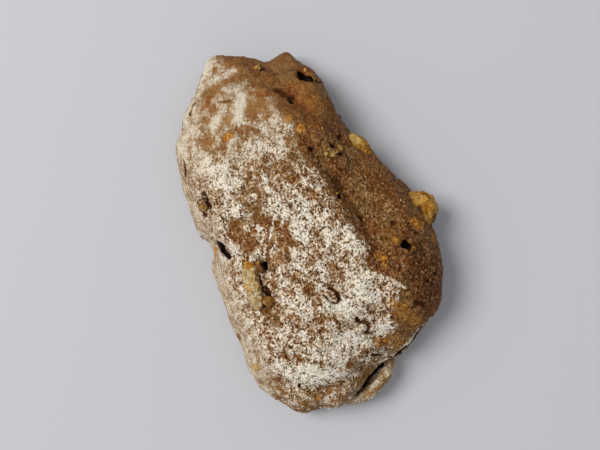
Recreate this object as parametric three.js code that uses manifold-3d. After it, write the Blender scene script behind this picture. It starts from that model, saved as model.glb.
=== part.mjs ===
import * as THREE from 'three';
import { mergeVertices } from 'three/addons/utils/BufferGeometryUtils.js';
import Module from 'manifold-3d';

// A small walnut ciabatta, in millimetres. The loaf lies along X on its flat
// base at z = 0. Its steep floured flank faces +Y and its bare, sloping flank
// faces -Y. Pieces of walnut stick out of the crust.

// ---- Driving dimensions ----------------------------------------------------

const HALF_LENGTH = 85;
const HALF_WIDTH = 50;
const LOAF_HEIGHT = 45;
const RIM_HEIGHT = 12;          // height of the widest contour
const UNDER_DEPTH = 18;         // how far the round underside would reach down
const UNDER_BULGE = 3.2;        // squareness of the edge under the rim
const RIM_DETAIL_START = 0.84;  // share of the half width past which the rim's own corners show
const STEEP_BULGE = 3.4;        // squareness of the dome on the floured flank
const SLOPING_BULGE = 2.0;      // and on the bare flank
const END_BULGE = 2.9;          // and at the two ends
const SHOULDER = 1.9;           // roundness of the dome just above the rim
const LENGTH_CELLS = 48;
const WIDTH_CELLS = 27;
const DOME_RINGS = 9;          // rows of cells on the flank above the rim
const UNDER_RINGS = 4;          // and below it
const UNDER_RING_SPREAD = 1.6;  // above 1, the rows below the rim lie closer to it
const POCKET_CLEARANCE = 0.4;   // between a walnut and the crumb round it
const NOISE_SEED = 4127;
const HASH_FACTORS = [374761393, 668265263, 2085393739, 974711];
const AZIMUTH_STEPS = 720;      // samples of the outline round the loaf
const DOME_SOFTENING = 22;      // samples to each side that smooth the outline higher up
const RIM_CALM = 12;            // height above and below the rim with less relief
const FOLD_RISE = 8;            // folds fade in over this height above the rim
const UNDERSIDE_CALM = [-3, 6]; // heights between which the relief fades in
const SWEEP_SIDES = 10;
const SWEEP_END = 0.3;          // thickness of a bar at its ends, as a share of its middle
const SWEEP_WAVE = { depth: 0.16, spacing: 5 };
const BUBBLE_LUMP = { detail: 2, lumps: 0.22, dents: [] };
const NUB_LUMP = { detail: 1, lumps: 0.2, dents: [] };

// The widest contour seen from above, anticlockwise from the pointed tip.
const OUTLINE = [
  [85.2, 14.1], [84.0, 17.8], [78.8, 23.0], [70.0, 30.2], [58.6, 40.2], [49.2, 45.9],
  [36.5, 49.2], [22.9, 50.2], [10.7, 50.0],
  [4.3, 47.2],                                            // waist
  [-2.1, 50.8], [-13.8, 51.2], [-25.7, 51.8], [-40.3, 51.8], [-55.8, 52.0],
  [-63.5, 49.8], [-69.4, 44.5], [-76.0, 41.0],
  [-79.6, 37.4], [-80.0, 33.4],                           // knob at the tail
  [-79.6, 30.0], [-81.9, 24.6], [-82.2, 17.5],
  [-79.2, 11.0], [-75.9, 4.6], [-72.0, -3.4],             // behind the crust flap
  [-71.8, -11.5], [-68.8, -18.6], [-63.9, -26.2], [-60.0, -32.4], [-54.7, -37.3],
  [-46.7, -41.6], [-38.0, -44.9], [-28.5, -47.2], [-18.6, -47.5], [-8.5, -45.7],
  [1.2, -41.5], [11.0, -36.2], [22.0, -31.3], [36.8, -27.1], [47.0, -25.5], [56.0, -25.9],
  [63.5, -23.0], [69.0, -18.6],
  [74.2, -16.9], [74.4, -13.0],                           // horn
  [72.4, -7.4], [75.7, -0.6], [80.4, 5.5], [81.6, 10.6],
];

// Swellings (height above 0) and hollows (below 0) of the dome, seen from above.
const SWELLINGS = [
  { at: [4, 25], size: [15, 11], height: -3.0 },          // saddle
  { at: [3, 47], size: [9, 8], height: -2.6 },            // its run-out at the waist
  { at: [-8, -33], size: [22, 8], height: 3.0 },          // shoulder of the bare flank
  { at: [-42, -34], size: [14, 8], height: 1.6 },
  { at: [34, 16], size: [22, 14], height: 1.2 },          // floured dome, pointed end
  { at: [-44, 12], size: [22, 20], height: 1.4 },         // floured dome, round end
  { at: [70, -12], size: [9, 9], height: -3.2 },          // low corner by the horn
  { at: [-80, 34], size: [7, 8], height: -4.0 },          // low tail
];

// Ridges (above 0) and creases (below 0) that run over the dome.
const FOLDS = [
  { name: 'crest', height: 1.5, width: 4.5,
    path: [[58, 1], [48, -5], [37, -5], [26, -5], [14, -9], [0, -10], [-14, -12], [-30, -18],
      [-46, -25]] },
  { name: 'flank crease', height: -3.6, width: 4.0,
    path: [[22, -11], [13, -15], [3, -18.5], [-8, -20], [-18, -20], [-26, -20]] },
  { name: 'corner crease', height: -2.2, width: 3.4,
    path: [[64, 3], [60, -4], [54, -10], [46, -13]] },
  { name: 'stretched skin', height: 1.0, width: 2.6,
    path: [[40, 11], [27, 13], [16, 13], [7, 14], [0, 21], [-6, 25]] },
  { name: 'stretched skin below', height: -0.9, width: 2.6,
    path: [[30, 19], [17, 20], [8, 20], [0, 28]] },
  { name: 'tail crease', height: -1.4, width: 3.2,
    path: [[-66, 36], [-70, 26], [-72, 14], [-68, 4]] },
];

// Relief of the whole crust: how deep, how many millimetres from bump to bump,
// and what share of it is left on the rim, which has its own outline.
const CRUST_RELIEF = [
  { depth: 1.9, spacing: 19, atRim: 0.2 },
  { depth: 1.3, spacing: 8.5, atRim: 0.5 },
  { depth: 0.5, spacing: 4.6, atRim: 1 },
];

// The thin edge of the bottom crust, the loose flap at its end with the foot
// that joins it to the loaf, and the crevice behind the flap.
const BASE_LIP = {
  path: [[-34, -44.6, 7.5], [-46, -39.9, 8], [-54, -35.6, 8], [-59.2, -30.8, 8], [-63.2, -24.6, 7.5],
    [-67.8, -17.2, 7.5], [-70.6, -9.5, 8]],
  halfWidth: 2.1, halfHeight: 4.2, steps: 15,
};
const CRUST_FLAP = {
  path: [[-70.5, -8.4, 9], [-74.8, -4.6, 9.5], [-78.6, 1.4, 10], [-81.0, 7.4, 9.5],
    [-82.0, 13.0, 9], [-80.6, 19, 8]],
  halfWidth: 3.9, halfHeight: 8.0, steps: 14,
};
const FLAP_FOOT = {
  path: [[-67, -10, 4.5], [-72, -3.6, 4.5], [-75.7, 3.0, 4.5], [-77.8, 9.4, 4.5], [-77.6, 17, 4.5]],
  halfWidth: 5.2, halfHeight: 7, steps: 8,
};
const CREVICE = {
  path: [[-70.6, -7.4, 17], [-73.6, -1.6, 17], [-76.6, 4.2, 17], [-78.8, 9.8, 16.5], [-79.8, 15.4, 16]],
  halfWidth: 1.4, halfHeight: 8.5, steps: 10,
};

// Open bubbles in the crust: place from above, half sizes, turn about Z, and
// how far the middle lies under the crust.
const BUBBLES = [
  { name: 'waist', at: [2.6, 42.6], half: [3.4, 2.7, 4.6], turn: 0.2, sink: 0.8 },
  { name: 'corner', at: [59.0, -18.6], half: [4.6, 2.5, 4.0], turn: 0.68, sink: 0.6 },
  { name: 'flank', at: [-24.6, -31.0], half: [2.7, 1.7, 4.0], turn: -1.2, sink: 0.4 },
  { name: 'left hole', at: [23.4, 42.1], half: [5.0, 2.9, 3.0], turn: -0.5, sink: 0.2 },
  { name: 'walnut hole', at: [-10.4, 28.2], half: [4.0, 3.2, 3.4], turn: 0.3, sink: 0.4 },
];

// Pieces too small for solids of their own, baked fast to the crust.
const NUBS = [
  { name: 'ringed nub', at: [-50.2, -1.2], half: [2.5, 2.2, 1.9] },
  { name: 'blister', at: [-32.5, 5.9], half: [3.4, 2.8, 1.2] },
  { name: 'nut chip', at: [22.6, -18.6], half: [2.3, 1.5, 1.5] },
  { name: 'nut chip', at: [18.8, -20.4], half: [1.5, 2.1, 1.4] },
  { name: 'bump', at: [-46.3, -16.5], half: [3.2, 2.4, 1.3] },
  { name: 'bump', at: [-59.9, -3.2], half: [3.0, 2.4, 1.3] },
  { name: 'bump', at: [-28.6, -20.5], half: [3.0, 2.2, 1.3] },
  { name: 'bump', at: [-21.6, -27.6], half: [2.2, 1.8, 1.4] },
  { name: 'crumb', at: [70.1, -1.3], half: [1.8, 1.5, 1.5] },
  { name: 'crumb', at: [-51.2, 47.7], half: [1.8, 1.4, 1.6] },
];

// Walnut pieces. "lift" is the height of the middle over the crust there, or
// "height" gives the middle itself where the piece sticks out of the rim.
const WALNUTS = [
  { name: 'walnut_rim_large', at: [-13.2, -43.5], height: 21.5, half: [8.3, 8.6, 6.9],
    turn: [0.45, 0.0, 0.35], seed: 3, detail: 4, lumps: 0.2,
    dents: [{ to: [0.1, 0.2, 1], depth: 0.34, width: 0.42 },
      { to: [-0.9, -0.3, 0.5], depth: 0.24, width: 0.3 },
      { to: [0.9, -0.5, 0.4], depth: 0.16, width: 0.3 }] },
  { name: 'walnut_rim_slab', at: [22.6, -30.0], height: 24, half: [6.2, 2.9, 3.3],
    turn: [0.5, 0.0, 0.46], seed: 11, detail: 3, lumps: 0.14,
    dents: [{ to: [-0.5, 1, 0.8], depth: 0.22, width: 0.6 }] },
  { name: 'walnut_floured', at: [-16.9, 35.3], lift: 0.5, half: [10.0, 3.4, 3.8],
    turn: [0.1, 0.0, -0.1], seed: 19, detail: 3, lumps: 0.2,
    dents: [{ to: [0.1, 0.6, 1], depth: 0.14, width: 0.35 },
      { to: [-0.2, -1, 0.5], depth: 0.2, width: 0.4 }] },
  { name: 'walnut_waist', at: [-10.5, 29.3], lift: -0.9, half: [2.6, 1.7, 2.1],
    turn: [0.0, 0.2, 0.3], seed: 27, detail: 2, lumps: 0.16, dents: [] },
  { name: 'walnut_lower', at: [-25.5, 31.5], lift: 0.1, half: [2.6, 1.8, 2.1],
    turn: [0.0, 0.1, 0.9], seed: 35, detail: 2, lumps: 0.16, dents: [] },
  { name: 'walnut_left', at: [23.2, 42.3], lift: -0.8, half: [3.2, 1.8, 2.2],
    turn: [0.0, 0.0, -0.5], seed: 43, detail: 2, lumps: 0.14, dents: [] },
];

const CRUST_FINISH = { color: 0x9c7a57, roughness: 0.9, metalness: 0 };
const WALNUT_FINISH = { color: 0xc2914f, roughness: 0.65, metalness: 0 };

// ---- Seeded noise ------------------------------------------------------------

function latticeValue(i, j, k, seed) {
  let hash = [i, j, k, seed].reduce((mix, value, axis) => mix ^ Math.imul(value, HASH_FACTORS[axis]), 0);
  for (const factor of HASH_FACTORS) {
    hash = Math.imul(hash ^ (hash >>> 13), factor);
  }
  return ((hash ^ (hash >>> 15)) >>> 0) / 2 ** 31 - 1;
}

// Smooth noise between -1 and 1 on a lattice of unit cells.
function noise(x, y, z, seed) {
  const [i, j, k] = [Math.floor(x), Math.floor(y), Math.floor(z)];
  const ease = (t) => t * t * t * (t * (t * 6 - 15) + 10);
  const [u, v, w] = [ease(x - i), ease(y - j), ease(z - k)];
  let sum = 0;
  for (let corner = 0; corner < 8; corner += 1) {
    const [a, b, c] = [corner & 1, (corner >> 1) & 1, (corner >> 2) & 1];
    const weight = (a ? u : 1 - u) * (b ? v : 1 - v) * (c ? w : 1 - w);
    sum += weight * latticeValue(i + a, j + b, k + c, seed);
  }
  return sum;
}

// ---- Solids --------------------------------------------------------------------

const wasm = await Module();
wasm.setup();

function weld(geometry) {
  const bare = geometry.clone();
  bare.deleteAttribute('normal');
  bare.deleteAttribute('uv');
  return mergeVertices(bare, 1e-4);
}

function toSolid(geometry) {
  const welded = weld(geometry);
  return new wasm.Manifold(new wasm.Mesh({
    numProp: 3,
    vertProperties: new Float32Array(welded.attributes.position.array),
    triVerts: new Uint32Array(welded.index.array),
  }));
}

function toGeometry(solid) {
  const { vertProperties, triVerts } = solid.getMesh();
  const geometry = new THREE.BufferGeometry();
  geometry.setAttribute('position', new THREE.BufferAttribute(vertProperties, 3));
  geometry.setIndex(new THREE.BufferAttribute(triVerts, 1));
  geometry.computeVertexNormals();
  return geometry;
}

// Moves each vertex of a geometry to where the given function sends it.
function reshape(geometry, move) {
  const { position } = geometry.attributes;
  const point = new THREE.Vector3();
  for (let i = 0; i < position.count; i += 1) {
    move(point.fromBufferAttribute(position, i), i);
    position.setXYZ(i, point.x, point.y, point.z);
  }
  return geometry;
}

// ---- Outline ---------------------------------------------------------------------

function azimuthRadii(corners) {
  const points = corners.map(([x, y]) => new THREE.Vector3(x, y, 0));
  const curve = new THREE.CatmullRomCurve3(points, true, 'centripetal');
  const samples = curve.getSpacedPoints(AZIMUTH_STEPS * 3)
    .map((p) => [Math.atan2(p.y, p.x), Math.hypot(p.x, p.y)])
    .sort((a, b) => a[0] - b[0]);
  const radii = [];
  let next = 0;
  for (let step = 0; step < AZIMUTH_STEPS; step += 1) {
    const azimuth = (step / AZIMUTH_STEPS) * 2 * Math.PI - Math.PI;
    while (next < samples.length - 1 && samples[next][0] < azimuth) next += 1;
    radii.push(samples[next][1]);
  }
  return radii;
}

function softened(radii, halfWindow) {
  return radii.map((_, step) => {
    let sum = 0;
    for (let offset = -halfWindow; offset <= halfWindow; offset += 1) {
      sum += radii[(step + offset + radii.length) % radii.length];
    }
    return sum / (2 * halfWindow + 1);
  });
}

function radiusAt(radii, azimuth) {
  const place = ((azimuth + Math.PI) / (2 * Math.PI)) * radii.length;
  const step = Math.floor(place);
  return THREE.MathUtils.lerp(radii[step % radii.length], radii[(step + 1) % radii.length], place - step);
}

const rimRadii = azimuthRadii(OUTLINE);
const domeRadii = softened(rimRadii, DOME_SOFTENING);

// ---- Loaf --------------------------------------------------------------------------

// Squareness of the dome, which differs between the flanks and the ends.
function domeBulge(azimuth) {
  const toFlank = Math.sin(azimuth);
  const flank = toFlank > 0 ? STEEP_BULGE : SLOPING_BULGE;
  return THREE.MathUtils.lerp(END_BULGE, flank, toFlank * toFlank);
}

// Sends a point of the unit sphere to the smooth loaf.
function loafPoint(direction) {
  const azimuth = Math.atan2(direction.y * HALF_WIDTH, direction.x * HALF_LENGTH);
  const onDome = direction.z >= 0;
  const bulge = onDome ? domeBulge(azimuth) : UNDER_BULGE;
  const reach = Math.pow(Math.hypot(direction.x, direction.y), 2 / bulge);
  const rimShare = THREE.MathUtils.smoothstep(reach, RIM_DETAIL_START, 1);
  const [domeRadius, rimRadius] = [radiusAt(domeRadii, azimuth), radiusAt(rimRadii, azimuth)];
  const radius = reach * THREE.MathUtils.lerp(domeRadius, rimRadius, rimShare);
  const climb = onDome
    ? (LOAF_HEIGHT - RIM_HEIGHT) * Math.pow(direction.z, 2 / SHOULDER)
    : -UNDER_DEPTH * Math.pow(-direction.z, 2 / UNDER_BULGE);
  direction.set(radius * Math.cos(azimuth), radius * Math.sin(azimuth), RIM_HEIGHT + climb);
}

function distanceToPath(x, y, path) {
  let nearest = Infinity;
  for (let i = 1; i < path.length; i += 1) {
    const [ax, ay] = path[i - 1];
    const [dx, dy] = [path[i][0] - ax, path[i][1] - ay];
    const along = THREE.MathUtils.clamp(((x - ax) * dx + (y - ay) * dy) / (dx * dx + dy * dy), 0, 1);
    nearest = Math.min(nearest, Math.hypot(x - ax - along * dx, y - ay - along * dy));
  }
  return nearest;
}

// How far the crust stands out from the smooth loaf.
function crustRelief(point) {
  let relief = 0;
  for (const { at, size, height } of SWELLINGS) {
    relief += height * Math.exp(-(((point.x - at[0]) / size[0]) ** 2) - ((point.y - at[1]) / size[1]) ** 2);
  }
  for (const { path, width, height } of FOLDS) {
    relief += height * Math.exp(-((distanceToPath(point.x, point.y, path) / width) ** 2));
  }
  relief *= THREE.MathUtils.smoothstep(point.z, RIM_HEIGHT, RIM_HEIGHT + FOLD_RISE);
  const offRim = THREE.MathUtils.smoothstep(Math.abs(point.z - RIM_HEIGHT), 0, RIM_CALM);
  CRUST_RELIEF.forEach(({ depth, spacing, atRim }, layer) => {
    const bump = noise(point.x / spacing, point.y / spacing, point.z / spacing, NOISE_SEED + layer);
    relief += depth * THREE.MathUtils.lerp(atRim, 1, offRim) * bump;
  });
  return relief * THREE.MathUtils.smoothstep(point.z, ...UNDERSIDE_CALM);
}

function makeLoafBody() {
  const rings = DOME_RINGS + UNDER_RINGS;
  const rimLevel = UNDER_RINGS / rings;
  const geometry = weld(new THREE.BoxGeometry(2, 2, 2, LENGTH_CELLS, WIDTH_CELLS, rings));
  reshape(geometry, (point) => {
    const level = (point.z + 1) / 2;
    point.z = level < rimLevel
      ? -Math.pow(1 - level / rimLevel, UNDER_RING_SPREAD)
      : (level - rimLevel) / (1 - rimLevel);
    loafPoint(point.normalize());
  });
  geometry.computeVertexNormals();
  const normals = geometry.attributes.normal.clone();
  const normal = new THREE.Vector3();
  reshape(geometry, (point, i) => {
    point.addScaledVector(normal.fromBufferAttribute(normals, i), crustRelief(point));
  });
  return toSolid(geometry);
}

// A bar that follows a path and thins out towards both ends.
function makeSweep({ path, halfWidth, halfHeight, steps }, seed) {
  const curve = new THREE.CatmullRomCurve3(path.map((corner) => new THREE.Vector3(...corner)));
  const section = new THREE.Shape().absarc(0, 0, 1, 0, 2 * Math.PI);
  const settings = { steps, extrudePath: curve, curveSegments: SWEEP_SIDES / 2 };
  const bar = weld(new THREE.ExtrudeGeometry(section, settings));
  const stations = curve.getSpacedPoints(steps);
  reshape(bar, (point) => {
    const distances = stations.map((station) => station.distanceTo(point));
    const nearest = distances.indexOf(Math.min(...distances));
    const taper = THREE.MathUtils.lerp(SWEEP_END, 1, Math.sqrt(Math.sin((nearest / steps) * Math.PI)));
    const { depth, spacing } = SWEEP_WAVE;
    const wave = 1 + depth * noise(point.x / spacing, point.y / spacing, point.z / spacing, seed);
    const offset = point.clone().sub(stations[nearest]).multiplyScalar(taper * wave);
    offset.multiply(new THREE.Vector3(halfWidth, halfWidth, halfHeight));
    point.copy(stations[nearest]).add(offset);
  });
  return toSolid(bar);
}

// An uneven round lump, such as a bubble or a piece of nut.
function makeLump({ half, seed, detail, lumps, dents }, grow = 0) {
  const lump = weld(new THREE.IcosahedronGeometry(1, detail));
  const hollows = dents.map((dent) => ({ ...dent, to: new THREE.Vector3(...dent.to) }));
  return reshape(lump, (point) => {
    let size = 1 + lumps * noise(point.x * 1.6, point.y * 1.6, point.z * 1.6, seed)
      + 0.5 * lumps * noise(point.x * 3.4, point.y * 3.4, point.z * 3.4, seed + 1);
    for (const { to, depth, width } of hollows) {
      size -= depth * Math.exp(-((point.angleTo(to) / width) ** 2));
    }
    point.multiply(new THREE.Vector3(...half.map((length) => length * size + grow)));
  });
}

function crustAbove(mesh, [x, y]) {
  const ray = new THREE.Raycaster(new THREE.Vector3(x, y, LOAF_HEIGHT * 2), new THREE.Vector3(0, 0, -1));
  const [hit] = ray.intersectObject(mesh);
  return { point: hit.point, normal: hit.face.normal };
}

function placed(geometry, position, rotation) {
  const turn = new THREE.Quaternion().setFromEuler(new THREE.Euler(...rotation));
  const matrix = new THREE.Matrix4().makeRotationFromQuaternion(turn).setPosition(position);
  return geometry.clone().applyMatrix4(matrix);
}

function makeFloorCut() {
  const depth = 40;
  return toSolid(new THREE.BoxGeometry(4 * HALF_LENGTH, 4 * HALF_WIDTH, depth).translate(0, 0, -depth / 2));
}

function makeBubble({ at, half, turn, sink }, index, crust) {
  const { point, normal } = crustAbove(crust, at);
  const lump = makeLump({ half, seed: 61 + index, ...BUBBLE_LUMP });
  return toSolid(placed(lump, point.addScaledVector(normal, -sink), [0, 0, turn]));
}

function makeNub({ at, half }, index, crust) {
  const { point } = crustAbove(crust, at);
  const lump = makeLump({ half, seed: 91 + index, ...NUB_LUMP });
  return toSolid(placed(lump, point, [0, 0, index]));
}

function walnutPlace({ at, height, lift }, crust) {
  if (height !== undefined) return new THREE.Vector3(at[0], at[1], height);
  return crustAbove(crust, at).point.add(new THREE.Vector3(0, 0, lift));
}

// ---- Assembly --------------------------------------------------------------------

const group = new THREE.Group();

function addNode(name, geometry, finish) {
  const mesh = new THREE.Mesh(geometry, new THREE.MeshStandardMaterial(finish));
  mesh.name = name;
  group.add(mesh);
  return mesh;
}

const body = makeLoafBody();
const crust = new THREE.Mesh(toGeometry(body));
let loaf = body
  .add(makeSweep(BASE_LIP, 51))
  .add(makeSweep(CRUST_FLAP, 52))
  .add(makeSweep(FLAP_FOOT, 54))
  .subtract(makeSweep(CREVICE, 53));
NUBS.forEach((nub, index) => {
  loaf = loaf.add(makeNub(nub, index, crust));
});
BUBBLES.forEach((bubble, index) => {
  loaf = loaf.subtract(makeBubble(bubble, index, crust));
});
for (const walnut of WALNUTS) {
  const place = walnutPlace(walnut, crust);
  loaf = loaf.subtract(toSolid(placed(makeLump(walnut, POCKET_CLEARANCE), place, walnut.turn)));
  const mesh = addNode(walnut.name, makeLump(walnut), WALNUT_FINISH);
  mesh.position.copy(place);
  mesh.rotation.set(...walnut.turn);
}
addNode('loaf', toGeometry(loaf.subtract(makeFloorCut())), CRUST_FINISH);

export default group;
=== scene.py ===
"""The looks of a small walnut ciabatta, dusted with flour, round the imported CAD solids.

The loaf lies along X on its flat base. Its floured flank faces +Y and its bare flank
faces -Y. Sizes in this file are in millimetres until a mesh or a lamp is made.
"""
import math

import bpy
import numpy as np
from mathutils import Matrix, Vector
from mathutils.bvhtree import BVHTree


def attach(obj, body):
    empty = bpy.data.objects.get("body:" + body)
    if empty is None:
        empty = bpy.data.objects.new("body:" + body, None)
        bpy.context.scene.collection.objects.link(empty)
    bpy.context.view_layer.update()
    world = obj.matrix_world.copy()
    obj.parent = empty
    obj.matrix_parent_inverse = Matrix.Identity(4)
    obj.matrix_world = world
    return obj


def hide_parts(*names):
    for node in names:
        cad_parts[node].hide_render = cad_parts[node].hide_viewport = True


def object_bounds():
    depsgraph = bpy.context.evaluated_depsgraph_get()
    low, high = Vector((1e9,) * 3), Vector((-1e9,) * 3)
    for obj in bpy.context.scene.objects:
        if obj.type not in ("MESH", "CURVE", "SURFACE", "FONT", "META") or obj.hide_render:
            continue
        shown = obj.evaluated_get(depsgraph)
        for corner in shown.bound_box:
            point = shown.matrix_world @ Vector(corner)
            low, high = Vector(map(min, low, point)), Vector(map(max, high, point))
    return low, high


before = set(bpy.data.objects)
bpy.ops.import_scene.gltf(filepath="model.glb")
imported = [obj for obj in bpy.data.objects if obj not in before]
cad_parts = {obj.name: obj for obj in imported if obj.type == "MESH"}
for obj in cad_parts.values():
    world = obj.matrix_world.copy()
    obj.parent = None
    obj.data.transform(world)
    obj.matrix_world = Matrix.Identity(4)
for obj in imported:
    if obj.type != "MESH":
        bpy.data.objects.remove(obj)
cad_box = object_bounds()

MM = 0.001
SEED = 4127

# ---- The loaf's own measures, in millimetres -------------------------------------------

CRUST_VOXEL = 0.66          # spacing of the finished crust mesh
NUT_VOXEL = 0.36            # and of the walnut pieces
NUT_SWELL = 0.3             # what closes the crust round a nut
FACET_SMOOTHING = 7         # rounds that take the CAD facets off the crust
BASE_SHARE_KEPT = 0.74      # of all faces, once the flat base is thinned out
BASE_HEIGHT = 0.12          # what lies lower is the flat base
RIM_HEIGHT = 12             # where a chip that misses the crust from above is set
NUT_SMOOTHING = 4           # rounds that take the facets off the walnut pieces
JOIN_DISTANCE = 0.01        # corners of a CAD mesh that lie this close are one
BOX_CLEARANCE = 0.02        # what every piece keeps from the CAD box
PORE_SPACING, PORE_DEPTH = 3.0, 0.45
SHARE_WITHOUT_PORE = 0.45   # of the spots where a pore could be
NUT_UNDER_CRUST = 0.45      # how far a nut just under the crust lifts it
FLOUR_THICKNESS = 0.22      # of the flour where it is caked
FLOUR_GRAINS = 2600         # caked grains that stand up from it

# Where the flour ends on the bare flank: place along the loaf and across it.
FLOUR_EDGE = [
    (-90, -12), (-64, -10), (-59, -8), (-57, -13), (-52, -16), (-46, -20), (-41, -22.5),
    (-37, -20.5), (-33, -17), (-30, -13), (-26, -13), (-20, -14), (-14, -13), (-8, -12),
    (0, -10), (8, -9), (12, -8.5), (17, -8), (22, -5.5), (27, -5), (32, -4), (36, -4.5),
    (40, -4.5), (45, -1), (50, -0.5), (56, 1), (62, 2), (66, 5.5), (72, 8), (78, 10.5),
    (85, 13), (90, 14),
]

# The marks below are strokes seen from above, each for something that shows on the loaf.

# Drifts of flour (amount above 0) and rubbed or bare patches (below 0):
# from, to, width and amount.
FLOUR_MARKS = [
    # pointed end
    (84, 15, 80, 20, 4, 0.35), (80, 20, 66, 33, 6, 0.5), (64, 35, 50, 44, 6, 0.2),
    (73, 8.5, 71.5, 19.5, 3.4, 0.35), (68.5, 6, 67, 19.5, 3, -0.6),
    (67, 20, 61.5, 26.5, 2.4, -0.45), (65.5, 12.5, 61.5, 20, 4.6, 0.15),
    (58.8, 22.1, 58.4, 22.4, 5, -0.6), (60, 19.5, 59.6, 15, 1.6, -0.5),
    (57.5, 17.5, 53, 25.5, 5, 0.4), (59, 9, 56, 11.5, 3.6, 0.45),
    (56, 11.5, 50, 15, 4.6, 0.45), (53.5, 8, 52, 9.5, 5, -0.45),
    (45, 22, 46, 15, 3.4, -0.5), (46, 15, 43, 10, 3, -0.4), (57, 28, 56, 28.5, 4.4, -0.35),
    (48, 29.5, 47, 31, 5, -0.4), (44, 35, 41, 33, 6, 0.3), (42.5, 22, 43, 20, 4, 0.35),
    (54, 24, 49, 27, 4, 0.3), (47, 1, 38, 6, 8, 0.25), (49.5, 2.5, 48, 3, 4, -0.45),
    (64, 7, 63, 3, 5, 0.1), (62, 1, 57, -4.5, 4, -0.5), (40, -4, 33, 3, 4, 0.3),
    (36, 11, 33, 14, 5, 0.3), (38, 16, 36, 17, 5, 0.25), (38, 28, 35, 31, 5, -0.35),
    (54.5, -2, 53, -3, 4, 0.35),
    # middle, with the stretched skin and the bare saddle
    (38, 36, 33, 31, 8, 0.35), (33, 31, 24, 28, 8, 0.35), (21.5, 28.5, 20, 26, 5, -0.5),
    (23, 21, 12, 19, 9, -0.45), (14, 24, 8, 20, 7, -0.35), (16.5, 29.5, 15, 31, 5, 0.45),
    (12, 33, 9.5, 30.5, 5, -0.55), (6, 33.5, 1, 31.5, 7, -0.9), (6, 29, 5, 27, 4, 0.15),
    (2, 36.5, -1, 37, 3.5, 0.5), (0, 44.3, -1.5, 43.5, 3.4, 0.6),
    (27, 13.5, 17.5, 14.3, 1.6, 0.6), (14, 12.5, 11.5, 13, 2.6, 0.5),
    (11.5, 18.5, 10.5, 18.7, 2.4, 0.5), (6, 24, 0, 26.5, 1.3, 0.4),
    (10, 8, 4, 8, 10, 0.2), (-3, 9.5, -5, 8, 5, 0.45), (4, 17, -3, 13, 7, -0.45),
    (-2, 18, -6, 17, 5, -0.3), (4, 21, -7, 15.5, 9, -0.5), (-26, 14, -30, 12, 6, -0.5),
    (-37, -6, -41, -10, 6, 0.45), (-40, 1, -44, -2, 6, 0.5), (-51, -9, -52, -12, 4, 0.25),
    (-19, -2, -24, 1, 5, -0.15), (-48, -14, -51, -17, 4, -0.7), (58, 34, 46, 41, 8, 0.3),
    (25, 12, 21, 10.5, 4.5, -0.45), (24, 6, 19, 3, 6, -0.35),
    (-13.5, 23, -14.5, 22.5, 3, 0.4), (-4, 21, -12, 22, 7, -0.6), (2, 27, -3, 25, 6, -0.4),
    (9.5, -1.5, 6.5, -5, 5, -0.4), (8, 3, 3, 3, 6, 0.25), (-9, -5, -16, -6, 8, 0.25),
    (-10, -11, -16, -13, 5, 0.25), (-18, 9, -15, 4, 1.6, -0.5), (-19, 6, -23, 5, 5, 0.25),
    # broad floured dome of the round end
    (-29, -7, -33, -9, 6, 0.25), (-34, -7, -38, -8, 7, 0.25), (-36, 9, -38, 4, 5, 0.4),
    (-55, -6, -55.5, -13, 4.5, 0.45), (-54, 3, -59, -2, 6, 0.3), (-52, 8, -55, 5, 7, 0.3),
    (-62, 26, -66, 16, 7, 0.35), (-64, 10, -67, 5, 4, -0.4), (-60, 1, -64, -3, 4, -0.5),
    (-59, -4, -62, -9, 6, -0.7), (-58, 31, -64, 27, 9, 0.45), (-52, 39, -57, 37, 5, 0.35),
    (-58, 42.5, -63, 41, 6, -0.5), (-67, 29, -71, 24, 8, -0.45), (-70, 20, -72, 14, 6, -0.45),
    (-42, 18, -47, 15, 6, -0.3), (-35, 25, -38, 22, 5, -0.25), (-27, 32, -33, 30, 6, -0.6),
    (-27, 36, -25, 38, 5, -0.55), (-36, 39, -38, 38.5, 4, -0.4), (-49, 34, -54, 30, 5, -0.35),
    (-28, 25, -33, 20, 6, 0.1), (-54, 20, -58, 12, 6, 0.3), (-47, -25, -52, -29, 4, 0.3),
    (-76, 33, -81, 38, 9, -0.55), (-74, 27, -78, 18, 6, -0.25), (-74.5, 26, -74, 21, 1.4, 0.5),
    (-68, 0, -72, 8, 4, -0.4), (-56, -20, -66, -12, 6, -0.1), (-64, -9, -70, -1, 5, 0.3),
    (-33, -24, -46, -27, 9, -0.9), (-40, -32, -50, -32, 10, -0.8), (-27, -20, -33, -22, 6, -0.5),
    # fine strands of stretched skin across the saddle, and the torn edge of the floured skin
    (10.6, 12.2, -6.8, 26.4, 1.4, 0.6), (10.4, 15.2, -4.8, 28.6, 1.3, 0.45),
    (7.4, 10.8, -7.9, 23.6, 1.2, 0.45), (-29.5, -11.5, -35.5, -20.0, 1.4, 0.3),
    (-35.5, -20.0, -42.0, -24.4, 1.8, 0.55), (-42.0, -24.4, -50.0, -27.6, 2.0, 0.5),
    # the crust behind the loose flap, and the lip of the bottom crust
    (-67.5, -6, -72, 4, 4, -0.5), (-72, 4, -74.5, 12, 4, -0.3), (-60, -31, -70, -10, 2.4, 1.2),
]
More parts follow.
